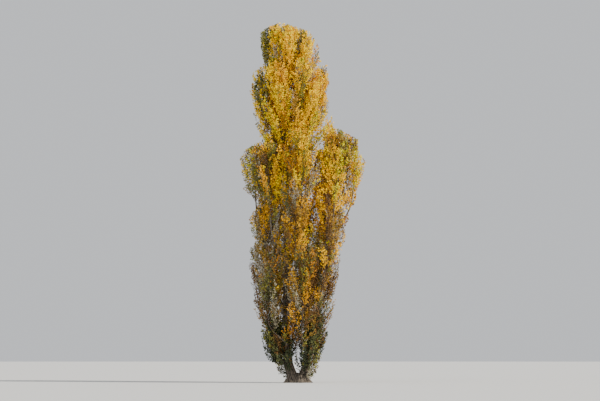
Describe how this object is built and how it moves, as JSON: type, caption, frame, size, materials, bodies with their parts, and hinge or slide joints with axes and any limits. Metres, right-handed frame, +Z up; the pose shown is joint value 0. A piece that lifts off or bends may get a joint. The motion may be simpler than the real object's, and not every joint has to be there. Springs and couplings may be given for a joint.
{
  "type": "poplar tree",
  "caption": "Tall, narrow poplar in golden autumn leaf, its bole forked low into two upright stems with steep boughs and leaves to the top.",
  "frame": {"origin": "the middle of the flat cut under the bole, at ground level", "axes": "+Z up along the tree, +X to the right of someone who faces the side in the picture, +Y away from them, to the back"},
  "size_m": [7.7965, 5.7467, 21.9847],
  "materials": {
    "bark": "rough, furrowed bark",
    "limb_bark": "smoother pale bark",
    "skirt_leaves": "dull dark leaves",
    "inner_leaves": "brown leaves and twigs",
    "low_leaves": "ochre and brown leaves",
    "middle_leaves": "amber leaves",
    "core_leaves": "brown and amber leaves",
    "shoulder_leaves": "golden leaves",
    "heart_leaves": "golden leaves",
    "upper_leaves": "bright golden leaves",
    "top_leaves": "bright golden leaves"
  },
  "bodies": {
    "root": {"trunk": "bark", "stem_left": "bark", "stem_right": "bark", "bough_low_1": "limb_bark", "bough_low_2": "limb_bark", "bough_low_3": "limb_bark", "bough_low_4": "limb_bark", "bough_low_5": "limb_bark", "bough_low_6": "limb_bark", "bough_middle_1": "limb_bark", "bough_middle_2": "limb_bark", "bough_middle_3": "limb_bark", "bough_middle_4": "limb_bark", "bough_middle_5": "limb_bark", "bough_middle_6": "limb_bark", "bough_shoulder_2": "limb_bark", "bough_shoulder_3": "limb_bark", "bough_shoulder_4": "limb_bark", "bough_shoulder_5": "limb_bark", "bough_shoulder_6": "limb_bark", "bough_shoulder_7": "limb_bark", "bough_shoulder_8": "limb_bark", "leaves_skirt_1": "skirt_leaves", "leaves_skirt_2": "skirt_leaves", "leaves_skirt_3": "skirt_leaves", "leaves_skirt_4": "skirt_leaves", "leaves_inner_1": "inner_leaves", "leaves_low_1": "low_leaves", "leaves_low_2": "low_leaves", "leaves_low_3": "low_leaves", "leaves_low_4": "low_leaves", "leaves_low_5": "low_leaves", "leaves_low_6": "low_leaves", "leaves_middle_1": "middle_leaves", "leaves_middle_2": "middle_leaves", "leaves_middle_3": "middle_leaves", "leaves_middle_4": "middle_leaves", "leaves_middle_5": "middle_leaves", "leaves_middle_6": "middle_leaves", "leaves_core_1": "core_leaves", "leaves_shoulder_1": "shoulder_leaves", "leaves_shoulder_2": "shoulder_leaves", "leaves_shoulder_3": "shoulder_leaves", "leaves_shoulder_4": "shoulder_leaves", "leaves_shoulder_5": "shoulder_leaves", "leaves_shoulder_6": "shoulder_leaves", "leaves_shoulder_7": "shoulder_leaves", "leaves_shoulder_8": "shoulder_leaves", "leaves_heart_1": "heart_leaves", "leaves_heart_2": "heart_leaves", "leaves_upper_1": "upper_leaves", "leaves_upper_2": "upper_leaves", "leaves_upper_3": "upper_leaves", "leaves_upper_4": "upper_leaves", "leaves_upper_5": "upper_leaves", "leaves_upper_6": "upper_leaves", "leaves_top_1": "top_leaves", "leaves_top_2": "top_leaves", "leaves_top_3": "top_leaves", "leaves_top_4": "top_leaves"}
  },
  "joints": []
}
